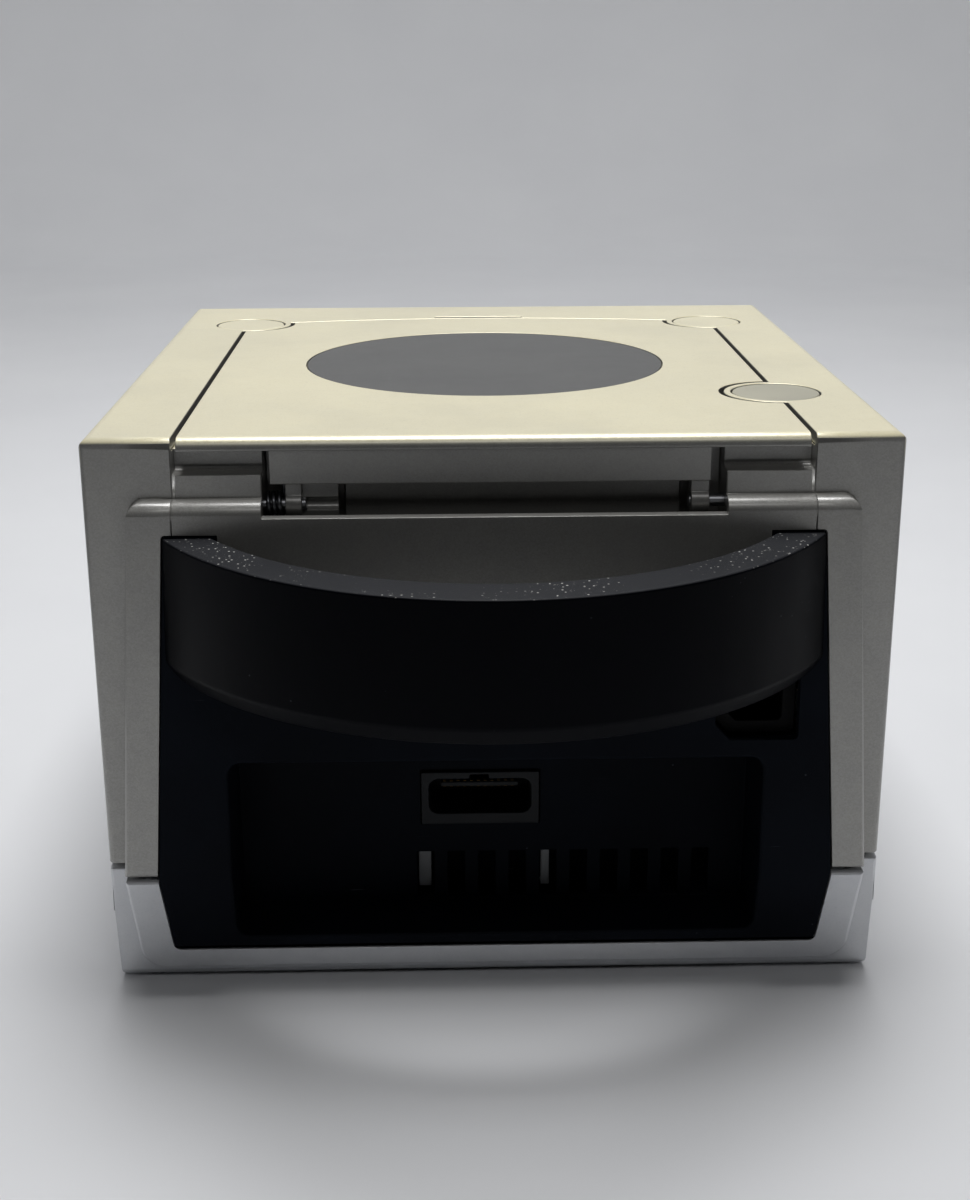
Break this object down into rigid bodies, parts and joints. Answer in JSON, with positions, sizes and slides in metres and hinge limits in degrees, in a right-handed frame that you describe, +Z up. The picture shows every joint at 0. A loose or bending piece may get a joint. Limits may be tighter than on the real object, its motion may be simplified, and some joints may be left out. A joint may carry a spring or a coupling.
{
  "type": "game console",
  "caption": "Cube-shaped home game console: pearl case, top-loading lid with round badge, bowed rear handle, dark rear and front port panels, disc drive inside.",
  "frame": {"origin": "middle of the footprint's bounding box, on the table under the feet", "axes": "+Z up, the front with the controller ports faces -Y, the rear with the handle faces +Y"},
  "size_m": [0.1504, 0.208, 0.11],
  "materials": {
    "pearl_shell": "satin pearl, slightly yellowed",
    "grey_shell": "satin light grey",
    "dark_plastic": "fine moulded texture",
    "socket_plastic": "smooth moulded",
    "badge": "fine brushed satin",
    "button_grey": "satin",
    "tray_black": "smooth moulded",
    "light_lens": "smoked clear",
    "foot_rubber": "soft rubber",
    "steel": "plain steel",
    "heatsink_metal": "extruded",
    "circuit_board": "solder mask",
    "flex_cable": "flexible film",
    "optics": "coated lens"
  },
  "bodies": {
    "console": {"top_case": "pearl_shell", "bottom_case": "grey_shell", "port_cover_front": "grey_shell", "port_cover_left": "grey_shell", "port_cover_right": "grey_shell", "rear_panel": "dark_plastic", "handle": "dark_plastic", "front_panel": "dark_plastic", "side_grille_left": "dark_plastic", "side_grille_right": "dark_plastic", "controller_socket_1": "socket_plastic", "controller_socket_2": "socket_plastic", "controller_socket_3": "socket_plastic", "controller_socket_4": "socket_plastic", "memory_slot_a": "socket_plastic", "memory_slot_b": "socket_plastic", "av_connector": "socket_plastic", "dc_inlet": "socket_plastic", "disc_tray": "tray_black", "fan_frame": "tray_black", "power_light": "light_lens", "feet": "foot_rubber", "case_screws": "steel", "handle_screws": "steel", "hinge_pins": "steel", "lid_spring": "steel", "open_spring": "steel", "reset_spring": "steel", "power_spring": "steel", "drive_chassis": "steel", "spindle_motor": "steel", "sled_rails": "steel", "sled_motor": "steel", "shield_plate": "steel", "heatsink": "heatsink_metal", "mainboard": "circuit_board", "controller_board": "circuit_board", "power_board": "circuit_board", "ribbon_cable": "flex_cable"},
    "lid": {"lid_cover": "pearl_shell", "lid_liner": "tray_black", "lid_emblem": "badge"},
    "latch": {"lid_latch": "steel"},
    "open_button": {"open_button": "pearl_shell"},
    "reset_button": {"reset_button": "pearl_shell"},
    "power_button": {"power_button": "button_grey"},
    "memory_door_a": {"memory_door_a": "socket_plastic"},
    "memory_door_b": {"memory_door_b": "socket_plastic"},
    "spindle": {"spindle_hub": "tray_black"},
    "lead_screw": {"lead_screw": "steel"},
    "sled": {"laser_sled": "tray_black", "laser_lens": "optics"},
    "fan": {"fan_rotor": "tray_black"}
  },
  "joints": [
    {"name": "lid_hinge", "type": "hinge", "parent": "console", "child": "lid", "pos_m": [0, 0.0605, 0.097], "axis": [-1, 0, 0], "range_deg": [0, 70]},
    {"name": "open_press", "type": "slide", "parent": "console", "child": "open_button", "axis": [0, 0, -1], "range_m": [0, 0.0016], "stiffness_N_per_m": 400, "deforming": ["open_spring"]},
    {"name": "latch_slide", "type": "slide", "parent": "console", "child": "latch", "axis": [0, -1, 0], "range_m": [0, 0.0016]},
    {"name": "reset_press", "type": "slide", "parent": "console", "child": "reset_button", "axis": [0, 0, -1], "range_m": [0, 0.0016], "stiffness_N_per_m": 400, "deforming": ["reset_spring"]},
    {"name": "power_press", "type": "slide", "parent": "console", "child": "power_button", "axis": [0, 0, -1], "range_m": [0, 0.0016], "stiffness_N_per_m": 400, "deforming": ["power_spring"]},
    {"name": "memory_door_a_hinge", "type": "hinge", "parent": "console", "child": "memory_door_a", "pos_m": [-0.0275, -0.0996, 0.038], "axis": [1, 0, 0], "range_deg": [0, 80], "stiffness_Nm_per_rad": 0.002},
    {"name": "memory_door_b_hinge", "type": "hinge", "parent": "console", "child": "memory_door_b", "pos_m": [0.0275, -0.0996, 0.038], "axis": [1, 0, 0], "range_deg": [0, 80], "stiffness_Nm_per_rad": 0.002},
    {"name": "spindle_spin", "type": "hinge", "parent": "console", "child": "spindle", "pos_m": [0, -0.0136, 0.097], "axis": [0, 0, 1], "continuous": true},
    {"name": "lead_screw_turn", "type": "hinge", "parent": "console", "child": "lead_screw", "pos_m": [0.011, -0.044, 0.086], "axis": [0, 1, 0], "range_deg": [0, 2535]},
    {"name": "sled_slide", "type": "slide", "parent": "console", "child": "sled", "axis": [0, -1, 0], "range_m": [0, 0.014]},
    {"name": "fan_spin", "type": "hinge", "parent": "console", "child": "fan", "pos_m": [0.062, -0.017, 0.05], "axis": [1, 0, 0], "continuous": true}
  ],
  "couplings": [
    {"joint": "latch_slide", "follows": "open_press", "ratio": 1},
    {"joint": "lead_screw_turn", "follows": "sled_slide", "rad_per_m": 3141.6}
  ]
}
